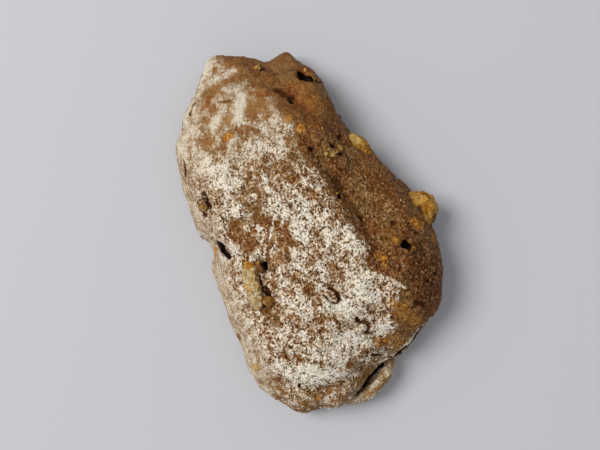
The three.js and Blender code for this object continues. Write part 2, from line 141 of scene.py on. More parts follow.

# Slits, cracks, creases and pits, darkened with painted shade: from, to, width, depth and how dark
# the painted shade is.
DARK_MARKS = [
    (66.6, 30, 62.1, 33.6, 1.0, 0.6, 0.5), (44, 43.6, 38, 46, 1.0, 0.5, 0.5),
    (57, -5, 51.5, -10, 3.0, 0.8, 0.5), (50.8, -8.2, 48.8, -9.3, 1.4, 0.8, 0.9),
    (27.6, -8.8, 27.2, -8.9, 1.7, 1.0, 1.0), (25.8, -18.2, 25.2, -18.8, 1.9, 1.0, 0.9),
    (21.6, -19.4, 21.2, -19.8, 1.5, 0.8, 0.8), (28.8, -22.2, 28.3, -22.8, 1.6, 0.8, 0.6),
    (4.8, -12.7, 4.4, -13, 1.7, 0.9, 0.9), (-7.2, -17.2, -7.8, -18.6, 1.8, 0.8, 0.7),
    (-14.3, -29.4, -14.8, -30, 2.0, 0.8, 0.5), (-21.8, -37.3, -22.3, -37.8, 1.8, 0.8, 0.5),
    (-43, -34.5, -43.3, -34.6, 1.5, 0.8, 0.9), (-41.5, -39, -41.7, -39.4, 1.6, 0.9, 0.9),
    (69.2, -2.8, 68.6, -3.4, 2.4, 0.9, 0.7), (55.5, -23.6, 54.9, -24.6, 2.0, 0.5, 0.8),
    (46.3, -25.2, 45.5, -25.8, 2.0, 0.4, 0.8), (37.6, -28.2, 36.8, -29, 1.8, 0.4, 0.7),
    (-46.2, -0.1, -46.8, -0.6, 1.8, 0.8, 0.8), (-53.4, -0.6, -54.6, -3.6, 1.2, 0.5, 0.45),
    (-64, -0.5, -66, -4, 1.2, 0.7, 0.8), (-62, 1, -63.5, 1.8, 1.0, 0.5, 0.7),
    (-26.6, 34.6, -25.4, 36, 1.3, 0.8, 1.0), (-21.4, 31.6, -24.2, 30.6, 1.6, 0.8, 0.9),
    (-64, 33, -64.6, 33.6, 1.5, 0.7, 0.9),
    (61, 19.6, 59.6, 15, 1.0, 0.4, 0.35), (12, -13.6, 8, -15.5, 3.4, 0.7, 0.3),
    (1, -20, -3, -22.5, 2.4, 0.5, 0.25), (-50, -26, -52, -29.5, 2.6, 0.6, 0.5),
    (-66.2, -20, -70.8, -9, 1.5, 0.9, 0.8), (-60.4, -29, -66, -20.6, 1.2, 0.7, 0.7),
    # the mouths of the open bubbles, and the crevice behind the loose flap, all dark with painted
    # shade
    (4.4, 43.2, 3.2, 42.6, 4.2, 1.1, 1.0), (3.2, 42.6, 1.0, 41.8, 3.2, 1.1, 1.0),
    (1.0, 41.8, -1.6, 40.8, 2.0, 1.0, 1.0),
    (61.0, -16.8, 56.8, -20.4, 2.6, 0.8, 0.95), (-24.3, -30.5, -26.3, -32.1, 2.8, 1.2, 1.0),
    (27.4, 40.3, 21.6, 40.4, 3.0, 0.4, 0.55), (24.8, 44.6, 22.4, 45, 2.6, 0.3, 0.45),
    (22.4, 45, 19.2, 43.6, 2.8, 0.3, 0.5),
    (-10.2, 27.2, -11.8, 27.6, 2.4, 0.8, 1.0), (-12.5, 31.2, -20.5, 32.3, 1.3, 0.2, 0.6),
    (-69.6, -8, -72.5, -3, 1.0, 0.6, 0.8),
    (-72.5, -3, -75.0, 3, 1.9, 0.9, 1.0), (-75.0, 3, -77.6, 8, 2.3, 0.9, 1.0),
    (-77.6, 8, -78.6, 12, 1.1, 0.6, 0.8),
]

LOOSE_FLAP = (-75, -5, -83, 14, 9)      # from, to and width

# Arcs of crease round a blister and a nub, darkened with painted shade: centre, half lengths, turn of
# the long one, from and to in degrees, width, depth and how dark the painted shade is.
DARK_ARCS = [
    (-32.7, 6.0, 3.6, 2.2, 24, -30, -165, 1.3, 0.5, 0.62),
    (-32.7, 6.0, 3.6, 2.2, 24, 60, 185, 1.1, 0.4, 0.4),
    (-50.6, -1.5, 2.7, 2.4, 0, 20, -100, 1.3, 0.5, 0.38),
    (-50.6, -1.5, 2.7, 2.4, 0, -100, -185, 1.6, 0.5, 0.45),
    (-22.6, 33.2, 4.2, 3.0, -20, -20, -150, 1.8, 0.5, 0.6),
    (45.0, 13.0, 5.5, 4.0, 10, 40, 120, 0.9, 0.3, 0.3),
]

# Golden and orange spots where a nut lies just under the crust: from, to, width, amount.
GOLD_MARKS = [
    (45, 21.8, 45, 20.8, 3.4, 0.8), (37.3, -7.8, 36.7, -8.2, 3.6, 0.9),
    (43, -4, 42.6, -4.2, 4.4, 0.45), (27.6, 7.2, 27.2, 6.8, 3.6, 0.55),
    (32.8, 0.4, 32.2, -0.4, 3.4, 0.45), (-21.5, 1.6, -21.7, 1.2, 2.6, 0.8),
    (-27.5, 1.5, -27.8, 1.2, 3.4, 0.45), (-22.5, -9.5, -23, -10, 3.4, 0.5),
    (-46.2, -17, -48.5, -19.5, 4.6, 0.9), (-59.4, -6, -60.6, -7.6, 4.4, 0.9),
    (-24.2, -17.6, -27.2, -20.6, 2.4, 0.8), (-27.2, -20.6, -29.4, -19.4, 2.4, 0.7),
    (-21.2, -27.8, -22, -28.2, 2.8, 0.9), (-27.3, -44.7, -27.8, -45.2, 3.2, 0.8),
    (-36, 30.2, -36.2, 29.8, 2.6, 0.6), (56.5, -13.4, 53.5, -15, 6, 0.15),
    (50, -14, 47, -17, 7, 0.08), (-52, -21, -57, -23, 5, 0.5), (4, 45.4, 0.6, 46.8, 2.6, 0.9),
    (-26.5, -32.4, -27, -32.6, 3, 0.5), (-67, 45, -66, 46, 3, 0.5),
    (-76, 25, -78, 20, 4, 0.4), (-56, 2.5, -56, 2, 2, 0.3), (-17, -38.4, -19.8, -40.2, 4, 0.9),
]

# How well baked the crust is: from, to, width, and darker (below 0) or golden (above 0). The darker
# strokes on the bare flank, which faces away from the lamp, and in its valley are partly painted
# shade.
BAKE_AND_SHADE_MARKS = [
    (-34, -30, -48, -31, 15, -0.6), (-30, -38, -46, -40, 12, -0.5), (-52, -32, -49, -36, 6, -0.4),
    (8, -14, -18, -19, 6, -0.35), (16, -11, 4, -13, 5, -0.3), (66, -10, 60, -14, 7, -0.2),
    (52, -14, 46, -20, 9, 0.1), (-50, -20, -58, -23, 9, 0.9), (-57, -5, -66, -13, 11, 1.0),
    (-68, -2, -73, 8, 7, 0.5), (-71, 12, -77, 32, 9, 0.45), (-74, 36, -80, 38, 7, 0.5),
    (-69, 32, -73, 29, 6, 0.6), (-62, 40, -72, 38, 8, 0.4), (-74, -6, -82, 14, 8, 1.1),
    (-67, -7, -74, 8, 6, 0.5), (30, 10, 18, 6, 10, 0.4), (56, 22, 50, 20, 7, 0.3),
    (66, 20, 74, 10, 5, 0.2), (14, 24, -6, 26, 12, -0.15),
]


# ---- Noise and strokes -----------------------------------------------------------------

CORNERS = [np.array([i & 1, i >> 1 & 1, i >> 2 & 1]) for i in range(8)]
HASH_FACTORS = (374761393, 668265263, 2085393739, 974711)


def cell_number(cells, seed):
    """A repeatable number from 0 to 1 for each cell of a lattice."""
    whole = sum(cells[:, axis] * HASH_FACTORS[axis] for axis in range(3)) + seed * HASH_FACTORS[3]
    whole = (whole ^ (whole >> 13)) * 1274126177 & 0x7FFFFFFF
    return ((whole ^ (whole >> 16)) & 0xFFFF) / 0xFFFF


def bumps(points, spacing, seed=0):
    """Smooth noise from about -1 to 1, its bumps one spacing apart. Spacing may differ by axis."""
    place = points / np.array(spacing)
    cell = np.floor(place).astype(np.int64)
    inside = place - cell
    ease = inside ** 3 * (inside * (inside * 6 - 15) + 10)
    total = np.zeros(len(points))
    for corner in CORNERS:
        weight = np.prod(np.where(corner, ease, 1 - ease), axis=1)
        slope = np.stack([cell_number(cell + corner, SEED + seed * 7 + axis) for axis in range(3)], 1)
        total += weight * ((slope * 2 - 1) * (inside - corner)).sum(1)
    return total * 1.6


def scattered(points, spacing, seed=0):
    """Distance to the nearest of many scattered points, and that point's own number."""
    place = points / spacing
    cell = np.floor(place).astype(np.int64)
    nearest = np.full(len(points), 9.0)
    number = np.zeros(len(points))
    for step in np.ndindex(3, 3, 3):
        at = cell + (np.array(step) - 1)
        spot = at + np.stack([cell_number(at, SEED + seed * 11 + axis) for axis in range(3)], 1)
        away = np.linalg.norm(place - spot, axis=1)
        closer = away < nearest
        nearest = np.where(closer, away, nearest)
        number = np.where(closer, cell_number(at, SEED + seed * 11 + 5), number)
    return nearest * spacing, number


def fade(value, low, high):
    """0 below low, 1 above high, and smooth between."""
    share = np.clip((value - low) / (high - low), 0, 1)
    return share * share * (3 - 2 * share)


def stroke(plan, mark, core=0.28, edge=0.62):
    """1 along the middle of a stroke seen from above, fading to 0 past its edge."""
    start, end, width = np.array(mark[0:2]), np.array(mark[2:4]), mark[4]
    along = end - start
    share = np.clip((plan - start) @ along / max(along @ along, 1e-6), 0, 1)
    away = np.linalg.norm(plan - start - share[:, None] * along, axis=1)
    return 1 - fade(away, width * core, width * edge)


def unsteady(places, amount, spacing, seed):
    """The places seen from above, each shifted a little, so that no stroke has a clean edge."""
    shift = np.stack([bumps(places, spacing, seed), bumps(places, spacing, seed + 1)], 1)
    return places[:, :2] + amount * shift


def flour_line(plan):
    """How far across the loaf the flour ends, at each place along it."""
    return np.interp(plan[:, 0], *zip(*FLOUR_EDGE))


def near_top(places, there, reach):
    """Keeps a mark within this reach of its highest point, off the flank below."""
    top = places[there > 0.3, 2].max(initial=0)
    return there * fade(places[:, 2], top - 1.5 * reach, top - reach)


def arc_marks(x, y, half_long, half_wide, turn, start, end, width, depth, darkness):
    """The short straight marks that make up an arc."""
    marks = 6
    turn = math.radians(turn)
    long = np.array([math.cos(turn), math.sin(turn)])
    wide = np.array([-long[1], long[0]])
    angles = np.radians(np.linspace(start, end, marks + 1))
    spots = [np.array([x, y]) + half_long * math.cos(a) * long + half_wide * math.sin(a) * wide
             for a in angles]
    return [(*spots[i], *spots[i + 1], width, depth, darkness) for i in range(marks)]


# ---- Meshes ----------------------------------------------------------------------------


def activate(piece):
    """Makes this the only selected object."""
    bpy.ops.object.select_all(action="DESELECT")
    piece.select_set(True)
    bpy.context.view_layer.objects.active = piece


def apply_modifier(piece, kind, **settings):
    """Adds a modifier and applies it."""
    activate(piece)
    modifier = piece.modifiers.new(kind.lower(), kind)
    for name, value in settings.items():
        setattr(modifier, name, value)
    bpy.ops.object.modifier_apply(modifier=modifier.name)


def copy_of_node(node, name):
    """A free copy of a CAD node, with its loose triangles joined."""
    piece = bpy.data.objects.new(name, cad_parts[node].data.copy())
    bpy.context.scene.collection.objects.link(piece)
    piece.data.materials.clear()
    activate(piece)
    bpy.ops.object.mode_set(mode="EDIT")
    bpy.ops.mesh.select_all(action="SELECT")
    bpy.ops.mesh.remove_doubles(threshold=JOIN_DISTANCE * MM)
    bpy.ops.mesh.normals_make_consistent(inside=False)
    bpy.ops.object.mode_set(mode="OBJECT")
    return piece


def vertices_of(piece):
    """Places in millimetres and normals of a piece's vertices."""
    count = len(piece.data.vertices)
    places, normals = np.zeros(count * 3), np.zeros(count * 3)
    piece.data.vertices.foreach_get("co", places)
    piece.data.vertices.foreach_get("normal", normals)
    return places.reshape(-1, 3) / MM, normals.reshape(-1, 3)


def place_vertices(piece, places):
    """Moves the vertices, and keeps them inside the CAD box and off the floor."""
    low, high = np.array(cad_box[0]) / MM, np.array(cad_box[1]) / MM
    places = np.clip(places, low + BOX_CLEARANCE, high - BOX_CLEARANCE)
    places[:, 2] = np.maximum(places[:, 2], 0)
    piece.data.vertices.foreach_set("co", (places * MM).ravel())
    piece.data.update()


def paint(piece, name, values):
    """Stores one number for each vertex, for the materials to read."""
    layer = piece.data.attributes.new(name, "FLOAT", "POINT")
    layer.data.foreach_set("value", np.clip(values, 0, 1).astype(np.float32))


def shade_smooth(piece):
    activate(piece)
    bpy.ops.object.shade_smooth()


def finish_piece(piece, slot, material, *nodes):
    """Gives a piece its material, hangs it from the root body and hides the CAD nodes that it stands
    for; the slot is not used.
    """
    piece.data.materials.clear()
    piece.data.materials.append(material)
    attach(piece, "root")
    if nodes:
        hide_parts(*nodes)


# ---- Materials -------------------------------------------------------------------------

GRAIN_IN_CELL = 0.6         # a grain is about this share of one cell of the noise

# Sizes of the patterns, in millimetres. The fibres of the skin and single grains of flour
# are finer than this: they are drawn as coarse as it takes to show.
FIBRE, CLUMP, PATCH = 0.6, 1.2, 3.0
FLAKE, FLAKE_GAP, CRACK_SPACING = 1.5, 0.6, 2.2
RUSTY_PATCH, BROAD_PATCH = 7.0, 15.0
NUT_FIBRE, NUT_LOBE = 0.8, 3.0
POWDER_GRAIN, CRUMB_GRAIN = 0.9, 0.9


def linear(colour):
    """The linear colour of an sRGB hex value."""
    parts = [int(colour[i:i + 2], 16) / 255 for i in (1, 3, 5)]
    return [p / 12.92 if p <= 0.04045 else ((p + 0.055) / 1.055) ** 2.4 for p in parts] + [1]


def add(tree, kind, inputs=(), **properties):
    """Adds a shader node. An input is a value, or the output that is linked to it."""
    node = tree.nodes.new("ShaderNode" + kind)
    for name, value in properties.items():
        setattr(node, name, value)
    for name, value in dict(inputs).items():
        if isinstance(value, bpy.types.NodeSocket):
            tree.links.new(value, node.inputs[name])
        else:
            node.inputs[name].default_value = value
    return node


def new_material(name):
    material = bpy.data.materials.new(name)
    material.use_nodes = True
    material.node_tree.nodes.clear()
    return material, material.node_tree


def grain(tree, place, size, detail=2.0, roughness=0.6, distortion=0.0):
    """Noise whose grains are about this many millimetres across."""
    scale = GRAIN_IN_CELL / (size * MM)
    return add(tree, "TexNoise", {"Vector": place, "Scale": scale, "Detail": detail,
                                  "Roughness": roughness, "Distortion": distortion}).outputs[0]


def between(tree, value, low, high, to_low=0.0, to_high=1.0):
    """Maps low to high onto two other values, smoothly."""
    return add(tree, "MapRange", {0: value, 1: low, 2: high, 3: to_low, 4: to_high},
               interpolation_type="SMOOTHSTEP").outputs[0]


def mixed(tree, share, first, second):
    """A mix of two colours, each a hex value or a socket."""
    first, second = (linear(c) if isinstance(c, str) else c for c in (first, second))
    return add(tree, "Mix", {0: share, 6: first, 7: second}, data_type="RGBA").outputs[2]


def maths(tree, how, first, second):
    return add(tree, "Math", {0: first, 1: second}, operation=how).outputs[0]


def blend(tree, value, times, plus, less):
    """value * times + plus - less."""
    raised = add(tree, "Math", {0: value, 1: times, 2: plus}, operation="MULTIPLY_ADD").outputs[0]
    return maths(tree, "SUBTRACT", raised, less)


def toned(tree, value, strength):
    """Draws a value from 0 to 1 towards one half."""
    return add(tree, "Math", {0: maths(tree, "SUBTRACT", value, 0.5), 1: strength, 2: 0.5},
               operation="MULTIPLY_ADD").outputs[0]


def ramp(tree, value, stops):
    """A run of colours, each a place from 0 to 1 and a hex value."""
    node = add(tree, "ValToRGB", {"Fac": value})
    for number, (place, colour) in enumerate(stops):
        if number > 1:
            node.color_ramp.elements.new(place)
        node.color_ramp.elements[number].position = place
        node.color_ramp.elements[number].color = linear(colour)
    return node.outputs["Color"]


def stored(tree, name):
    """A number painted on the vertices."""
    return add(tree, "Attribute", attribute_name=name).outputs["Fac"]


def close_material(tree, colour, roughness, heights, distance, specular=0.35):
    """Bump and shader, with the output."""
    bump = add(tree, "Bump", {"Height": heights, "Distance": distance * MM, "Strength": 1.0})
    shader = add(tree, "BsdfPrincipled", {"Base Color": colour, "Roughness": roughness,
                                          "Normal": bump.outputs[0],
                                          "Specular IOR Level": specular})
    add(tree, "OutputMaterial", {"Surface": shader.outputs[0]})


# Browns of the baked skin, each a pair: between the fibres and on top of them. The dark bake pair is
# partly painted shade, and the crease pair is painted shade.
RUSTY = ("#4c1f06", "#96552a")
OLIVE = ("#5c4116", "#a98a5a")
LIGHTLY_BAKED = ("#805318", "#cb9a50")
DARK_BAKE_AND_SHADE = ("#240d01", "#794620")
OVER_NUT = ("#a45e10", "#df9e45")
CREASE_SHADE = ("#2f1403", "#5e330f")

# Flour, from a film that the crust shows through to thick and caked.
FLOUR_TONES = [(0.1, "#704928"), (0.25, "#8f6a46"), (0.42, "#ae8e6b"), (0.58, "#cab192"),
               (0.74, "#e5d2b9"), (0.92, "#f8eddb")]


def make_crust_material():
    """Oven-baked wheat crust: brown and faintly glossy where bare, chalky where floured."""
    material, tree = new_material("baked wheat crust with dusted flour")
    place = add(tree, "TexCoord").outputs["Object"]
    flour, bare = stored(tree, "flour"), stored(tree, "bare")
    dark, gold = stored(tree, "dark"), stored(tree, "gold")
    grit, baked = stored(tree, "grit"), stored(tree, "baked")
    # flour lies as a tan film and cakes into white flakes of a millimetre or two, with gaps
    # of half a millimetre between them
    aside = add(tree, "Mapping", {"Vector": place, "Location": (0.31, 0.17, 0.23)}).outputs[0]
    fine = between(tree, grain(tree, place, FIBRE, 1.0, 0.7), 0.41, 0.59)
    grains = between(tree, grain(tree, aside, CLUMP, 2.0, 0.65), 0.35, 0.65)
    gaps = between(tree, grain(tree, aside, FLAKE_GAP, 1.0, 0.7), 0.38, 0.62)
    flakes = between(tree, grain(tree, place, FLAKE, 3.0, 0.8), 0.38, 0.62)
    patches = between(tree, grain(tree, aside, PATCH, 4.0, 0.65), 0.36, 0.64)
    rusty = grain(tree, aside, RUSTY_PATCH, 3.0)
    broad = grain(tree, place, BROAD_PATCH, 2.0)
    vein = grain(tree, place, CRACK_SPACING, 2.0, 0.65, 0.5)
    away = maths(tree, "ABSOLUTE", maths(tree, "SUBTRACT", vein, 0.5), 0.0)
    cracks = between(tree, away, 0.006, 0.03, 1.0, 0.0)
    # where there is little grit, the flour is a smooth film and the skin is evenly brown
    strength = between(tree, grit, 0.0, 1.0, 0.3, 1.0)

    # the baked skin is woolly: close fine fibres in two browns, over broader patches
    wool = toned(tree, maths(tree, "ADD", maths(tree, "MULTIPLY", fine, 0.7),
                             maths(tree, "MULTIPLY", grains, 0.3)), strength)
    low = mixed(tree, patches, mixed(tree, bare, "#5a2c0a", "#381702"),
                mixed(tree, bare, "#774113", "#5a310b"))
    high = mixed(tree, patches, mixed(tree, bare, "#955d2c", "#8c5a31"),
                 mixed(tree, bare, "#b58248", "#b27f47"))
    brown = mixed(tree, wool, low, high)
    brown = mixed(tree, between(tree, rusty, 0.46, 0.64, 0.0, 0.5), brown,
                  mixed(tree, wool, *RUSTY))
    brown = mixed(tree, between(tree, rusty, 0.54, 0.36, 0.0, 0.5), brown,
                  mixed(tree, wool, *OLIVE))
    brown = mixed(tree, between(tree, broad, 0.4, 0.62, 0.0, 0.3), brown, "#7d5118")
    brown = mixed(tree, between(tree, baked, 0.5, 1.0, 0.0, 0.7), brown,
                  mixed(tree, wool, *LIGHTLY_BAKED))
    # darker crust, partly painted shade on the bare flank
    brown = mixed(tree, between(tree, baked, 0.5, 0.1, 0.0, 0.75), brown,
                  mixed(tree, wool, *DARK_BAKE_AND_SHADE))
    # painted highlights stand for the glints of dry fibre tips, and a nut under the skin shows golden
    painted_glint = maths(tree, "MULTIPLY", between(tree, gaps, 0.9, 1.0),
                  between(tree, grains, 0.55, 0.85))
    painted_glint = maths(tree, "MULTIPLY", painted_glint, between(tree, grit, 0.3, 1.0, 0.05, 0.45))
    brown = mixed(tree, painted_glint, brown, "#d8bb90")
    brown = mixed(tree, maths(tree, "MULTIPLY", gold, between(tree, grains, 0.0, 0.7, 0.6, 1.0)),
                  brown, mixed(tree, fine, *OVER_NUT))

    # how thick the flour lies, from bare to caked, and the colours that it passes through
    lie = blend(tree, flakes, 0.62, 0.0, maths(tree, "MULTIPLY", gaps, 0.5))
    lie = maths(tree, "MULTIPLY", blend(tree, lie, 1.0, -0.06, 0.0), strength)
    lie = maths(tree, "MULTIPLY", lie, between(tree, flour, 0.0, 0.3, 0.2, 1.0))
    laid = maths(tree, "MULTIPLY", flour, between(tree, grit, 0.3, 1.0, 0.84, 1.08))
    thick = blend(tree, lie, 1.0, -0.05, maths(tree, "MULTIPLY", laid, -1.0))
    powder = ramp(tree, thick, FLOUR_TONES)
    powder = mixed(tree, between(tree, grit, 0.2, 1.0, 0.75, 0.0), powder,
                   mixed(tree, between(tree, thick, 0.2, 0.8), "#957a58", "#c9bda8"))
    colour = mixed(tree, between(tree, thick, 0.12, 0.34), brown, powder)

    # hollows and cracks between the flakes, partly the crust showing through and partly painted
    # shade, then the creases and pits of the crust itself, filled with painted shade
    shaded_hollow = maths(tree, "MULTIPLY", between(tree, gaps, 0.8, 0.98),
                   between(tree, flakes, 0.6, 0.2))
    shaded_hollow = maths(tree, "MAXIMUM", shaded_hollow, maths(tree, "MULTIPLY", cracks, 0.6))
    shaded_hollow = maths(tree, "MULTIPLY", shaded_hollow, between(tree, bare, 0.0, 1.0, 1.0, 0.5))
    shaded_hollow = maths(tree, "MULTIPLY", shaded_hollow, between(tree, grit, 0.2, 1.0, 0.0, 0.9))
    colour = mixed(tree, shaded_hollow, colour, "#43200a")
    # painted shade in the slits, creases, pits and crevices: brown at their edges, nearly black deep
    # inside
    colour = mixed(tree, between(tree, dark, 0.0, 0.55), colour,
                   mixed(tree, grains, *CREASE_SHADE))
    colour = mixed(tree, between(tree, dark, 0.45, 0.95), colour, "#120803")
    rough = between(tree, thick, 0.1, 0.5, 0.55, 0.95)
    woolly = maths(tree, "MULTIPLY", wool, between(tree, bare, 0.0, 1.0, 0.6, 1.3))
    heights = maths(tree, "ADD", woolly, maths(tree, "SUBTRACT", thick, shaded_hollow))
    close_material(tree, colour, rough, heights, 0.4, 0.08)
    return material


def make_walnut_material():
    """Toasted walnut kernel: oily golden flesh, with papery brown skin left in patches."""
    material, tree = new_material("toasted walnut kernel")
    place = add(tree, "TexCoord").outputs["Object"]
    skin, pale, flour = stored(tree, "skin"), stored(tree, "pale"), stored(tree, "flour")
    dark = stored(tree, "dark")
    grains = grain(tree, place, NUT_FIBRE, 3.0, 0.65)
    lobes = grain(tree, place, NUT_LOBE, 2.0)
    flesh = mixed(tree, between(tree, lobes, 0.38, 0.62), "#a0691c", "#c89642")
    flesh = mixed(tree, between(tree, grains, 0.52, 0.36, 0.0, 0.8), flesh, "#6b3b08")
    flesh = mixed(tree, maths(tree, "MULTIPLY", pale, between(tree, grains, 0.36, 0.6, 0.5, 1.0)),
                  flesh, "#bda060")
    torn = maths(tree, "ADD", skin, maths(tree, "MULTIPLY", grains, 0.5))
    flesh = mixed(tree, between(tree, torn, 0.45, 0.85, 0.0, 0.95), flesh, "#664021")
    powder = mixed(tree, between(tree, grains, 0.38, 0.6), "#c9b792", "#96764a")
    dusted = between(tree, blend(tree, flour, 1.4, -0.1, between(tree, grains, 0.36, 0.64)),
                     -0.1, 0.5)
    # painted shade where the nut lies deep under the crust
    colour = mixed(tree, dark, mixed(tree, dusted, flesh, powder), "#1a0c04")
    close_material(tree, colour, between(tree, dusted, 0.0, 1.0, 0.55, 0.95), grains, 0.3, 0.15)
    return material


def make_flour_material():
    """Wheat flour caked in grains: matt, chalky and slightly cream."""
    material, tree = new_material("caked wheat flour")
    place = add(tree, "TexCoord").outputs["Object"]
    grains = grain(tree, place, POWDER_GRAIN)
    colour = mixed(tree, between(tree, grains, 0.38, 0.62), "#f3ede1", "#ddd0b9")
    close_material(tree, colour, 0.95, grains, 0.1, 0.2)
    return material


def make_crumb_material():
    """Scraps of well-baked crust: dark brown and rough."""
    material, tree = new_material("baked crust crumbs")
    place = add(tree, "TexCoord").outputs["Object"]
    grains = grain(tree, place, CRUMB_GRAIN)
    colour = mixed(tree, between(tree, grains, 0.38, 0.62), "#5b3a22", "#8a6138")
    close_material(tree, colour, 0.7, grains, 0.15, 0.3)
    return material


def make_floor_material():
    """Plain pale matt board."""
    material, tree = new_material("pale matt laminate")
    shader = add(tree, "BsdfPrincipled", {"Base Color": linear("#c3c3c8"), "Roughness": 0.6,
                                          "Specular IOR Level": 0.3})
    add(tree, "OutputMaterial", {"Surface": shader.outputs[0]})
    return material


# ---- The loaf --------------------------------------------------------------------------


def flour_cover(places, normals):
    """How much of the crust is floured, from 0 to 1, before the finest speckle."""
    x, y, z = places.T
    plan = unsteady(places, 0.7, 3.0, 1)
    edge = flour_line(plan) + 2.0 * bumps(places, 7, 3) + 1.0 * bumps(places, 2.2, 4)
    inside = fade(plan[:, 1] - edge, -3.5, 2.5)
    # patchy all over, thinner towards the pointed end, and more even down the floured flank
    cover = 0.53 - 0.14 * fade(x, 5, 60) + 0.17 * bumps(places, 13, 5)
    cover += 0.3 * bumps(places, 5.5, 6)
    cover += 0.25 * bumps(places, (3.4, 2.0, 3.4), 7)
    even = 0.55 * fade(y, 26, 40)
    cover += even * (0.5 + 0.24 * fade(y, 37, 47) - cover)
    # only a haze of it strays past the edge
    haze = 0.12 * bumps(places, 5, 8) - 0.02
    cover = inside * cover + (1 - inside) * np.maximum(haze, 0.5 * cover - 0.4)
    # a drift settles where the crust faces up, and a rubbed patch reaches round the flank
    settled = 0.1 + 0.9 * fade(normals[:, 2], 0.0, 0.5)
    for mark in FLOUR_MARKS:
        amount = mark[5] * settled if mark[5] > 0 else 0.6 * mark[5]
        cover += amount * stroke(plan, mark, 0.0, 0.95)
    # streaks along the flank, a film in every bare patch, and less of it near the base
    cover += 0.22 * bumps(places, (9.0, 2.4, 2.4), 9) * fade(y, 30, 40)
    cover = np.maximum(cover, (0.16 + 0.12 * bumps(places, 4, 10)) * inside)
    low = (1 - fade(z, 1.0, 7.0)) * (1 - 0.7 * fade(y, 10, 35))
    return np.clip(cover, -0.4, 1.2) * (1 - 0.45 * low)


def open_pores(places, bare):
    """1 in the small pores of the bare crust, 0 elsewhere."""
    away, number = scattered(places, PORE_SPACING, 18)
    wide = 0.35 + 0.5 * number
    return (number > SHARE_WITHOUT_PORE) * (1 - fade(away, 0.4 * wide, wide)) * bare


def crust_relief(places, bare, flour, gold, pores):
    """How far the crust stands out: swells, folds and wrinkles, rougher where it is bare."""
    ridges = 1 - 2 * np.abs(bumps(places, 3.2, 13))
    folds = 1 - 2 * np.abs(bumps(places, (7.0, 2.2, 4.0), 14))
    relief = 0.45 * bumps(places, 7.5, 15) + (0.3 + 0.15 * bare) * bumps(places, 3.6, 16)
    relief += 0.16 * ridges + 0.14 * folds
    relief += (0.14 + 0.16 * bare) * bumps(places, 1.7, 17) + NUT_UNDER_CRUST * gold
    relief += 0.15 * bare * (1 - 3 * np.abs(bumps(places, 2.4, 19)))
    relief -= PORE_DEPTH * pores
    relief += FLOUR_THICKNESS * flour * (1 - bare)
    return relief


def thin_out_base(loaf):
    """Fewer faces in the flat base, where nothing shows."""
    places, _ = vertices_of(loaf)
    base = loaf.vertex_groups.new(name="base")
    base.add(np.flatnonzero(places[:, 2] < BASE_HEIGHT).tolist(), 1.0, "REPLACE")
    apply_modifier(loaf, "DECIMATE", ratio=BASE_SHARE_KEPT, vertex_group="base",
                   vertex_group_factor=1000)


def make_loaf(material):
    """The baked crust: one closed skin, with its relief, flour, pores, slits and pits."""
    loaf = copy_of_node("loaf", "loaf_crust")
    apply_modifier(loaf, "SUBSURF", levels=1, render_levels=1)
    apply_modifier(loaf, "REMESH", mode="VOXEL", voxel_size=CRUST_VOXEL * MM)
    apply_modifier(loaf, "SMOOTH", factor=0.5, iterations=FACET_SMOOTHING)
    thin_out_base(loaf)
    places, normals = vertices_of(loaf)
    above = fade(places[:, 2], 0.3, 3.0)        # 0 on the base, which stays flat
    up = fade(normals[:, 2], -0.1, 0.45)        # 1 where the crust faces up
    plan = unsteady(places, 0.5, 2.4, 11)

    flour = flour_cover(places, normals)
    bare = 1 - fade(plan[:, 1] - flour_line(plan), -3, 2)
    dark, depth, gold = np.zeros((3, len(places)))
    creases = [mark for bend in DARK_ARCS for mark in arc_marks(*bend)]
    # slits, creases and pits sink into the crust and take painted shade
    for mark in DARK_MARKS + creases:
        there = near_top(places, stroke(plan, mark), 8 * mark[5])
        dark = np.maximum(dark, mark[6] * there * above)
        depth = np.maximum(depth, mark[5] * there * up)
    for mark in GOLD_MARKS:
        gold = np.maximum(gold, mark[5] * stroke(plan, mark) * up)
    baked = 0.25 * bumps(places, 12, 21)
    # golden and darker strokes; the darker ones on the bare flank are partly painted shade
    for mark in BAKE_AND_SHADE_MARKS:
        baked += mark[5] * stroke(plan, mark, 0.1, 0.8)

    pores = open_pores(places, bare)
    relief = crust_relief(places, bare, flour, gold, pores) - depth
    places = places + normals * (above * relief)[:, None]
    place_vertices(loaf, places)
    paint(loaf, "flour", flour * (1 - 0.8 * dark) * (1 - 0.5 * gold))
    paint(loaf, "bare", bare)
    # painted shade in the slits, creases, pits and open pores
    paint(loaf, "dark", np.maximum(dark, 0.55 * pores))
    paint(loaf, "gold", gold)
    paint(loaf, "baked", 0.5 + 0.5 * baked)
    # rough and flaky on top, smoother on the pointed end, the floured flank and the flap
    grit = fade(places[:, 0], 60, 10) * fade(places[:, 1], 51, 34)
    grit *= 1 - 0.8 * stroke(plan, LOOSE_FLAP)
    paint(loaf, "grit", 0.25 + 0.75 * grit)
    shade_smooth(loaf)
    finish_piece(loaf, "crust", material, "loaf")
    return loaf
